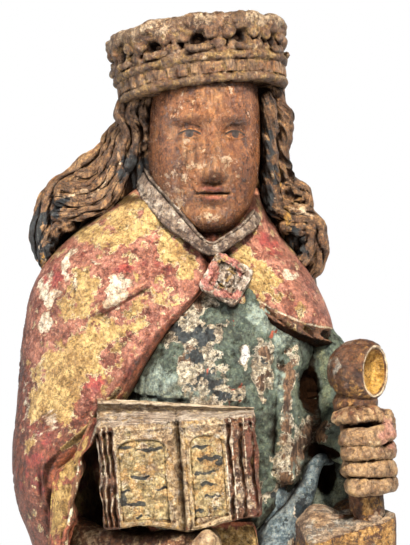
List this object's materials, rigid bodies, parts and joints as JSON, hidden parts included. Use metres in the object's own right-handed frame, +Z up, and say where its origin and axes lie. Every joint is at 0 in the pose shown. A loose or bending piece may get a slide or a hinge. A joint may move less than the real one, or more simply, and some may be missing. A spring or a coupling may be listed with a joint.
{
  "type": "saint statue",
  "caption": "Carved and painted wooden figure of a crowned saint in a clasped mantle, holding an open book and a sword, standing on a low integral base.",
  "frame": {"origin": "middle of the flat underside of the base", "axes": "+Z up along the standing figure; the figure faces -Y; +X towards the figure's left hand, which holds the sword"},
  "size_m": [0.2121, 0.1814, 0.5749],
  "materials": {
    "polychrome_wood": "worn paint and gilding on gesso over carved wood"
  },
  "bodies": {
    "root": {"saint_figure": "polychrome_wood"}
  },
  "joints": []
}
